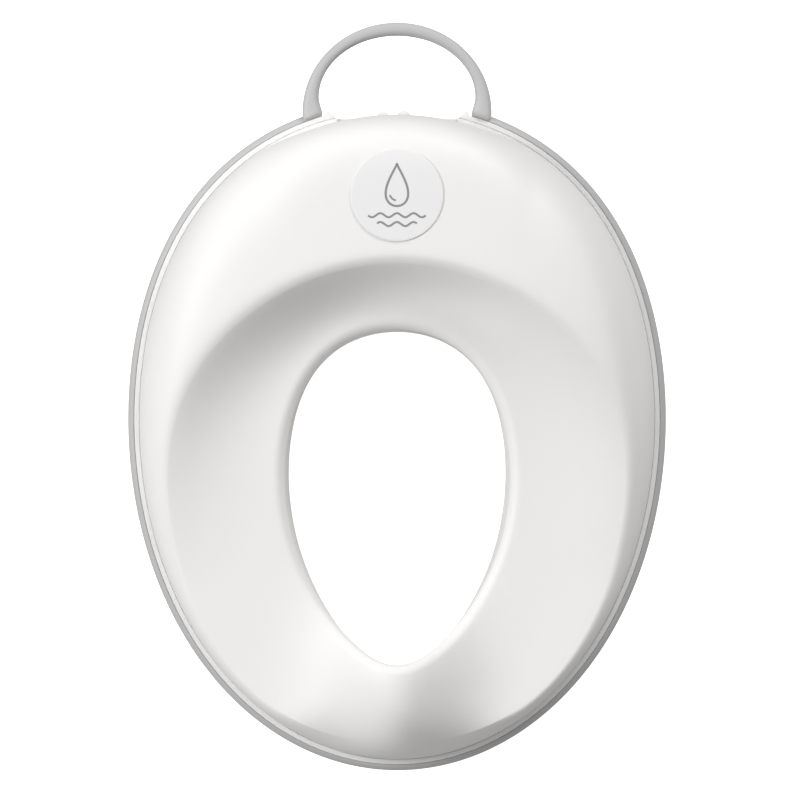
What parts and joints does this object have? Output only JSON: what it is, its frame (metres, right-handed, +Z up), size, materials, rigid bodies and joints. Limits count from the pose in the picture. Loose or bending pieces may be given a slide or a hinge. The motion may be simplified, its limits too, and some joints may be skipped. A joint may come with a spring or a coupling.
{
  "type": "toilet training seat",
  "caption": "Egg-shaped child toilet training seat with raised back shelf, front splash guard, soft grip rim, carrying hoop and a rear dial that moves a clamping slide",
  "frame": {"origin": "centre of the bounding box, at its lowest face (bottom edge of the locating skirt)", "axes": "+X to the user's right seen from above with the handle at the top, +Y to the back where the handle is, +Z up; millimetre design, metre record"},
  "size_m": [0.2902, 0.4032, 0.1002],
  "materials": {
    "shell_white": "fine satin moulded polypropylene",
    "frame_white": "satin moulded polypropylene",
    "soft_grey": "soft matt thermoplastic elastomer",
    "badge_white": "smooth printed disc",
    "dial_white": "satin moulded acetal",
    "steel": "zinc plated"
  },
  "bodies": {
    "base": {"seat_shell": "shell_white", "under_frame": "frame_white", "grip_rim": "soft_grey", "handle": "soft_grey", "badge_disc": "badge_white", "dial_screw": "steel", "wave_washer": "steel", "flat_washer": "steel", "keeper_left": "frame_white", "keeper_right": "frame_white", "keeper_screw_1": "steel", "keeper_screw_2": "steel", "keeper_screw_3": "steel", "keeper_screw_4": "steel", "front_pad": "soft_grey", "shell_screw_1": "steel", "shell_screw_2": "steel", "shell_screw_3": "steel", "shell_screw_4": "steel", "shell_screw_5": "steel", "shell_screw_6": "steel"},
    "dial": {"dial": "dial_white"},
    "slide": {"adjuster_slide": "dial_white", "slide_pad_left": "soft_grey", "slide_pad_right": "soft_grey"}
  },
  "joints": [
    {"name": "dial_turn", "type": "hinge", "parent": "base", "child": "dial", "pos_m": [0, 0.117, 0.0475], "axis": [0, 0, 1], "range_deg": [0, 124]},
    {"name": "slide_travel", "type": "slide", "parent": "base", "child": "slide", "axis": [0, 1, 0], "range_m": [0, 0.026]}
  ],
  "couplings": [
    {"joint": "slide_travel", "follows": "dial_turn", "m_per_rad": 0.012}
  ]
}
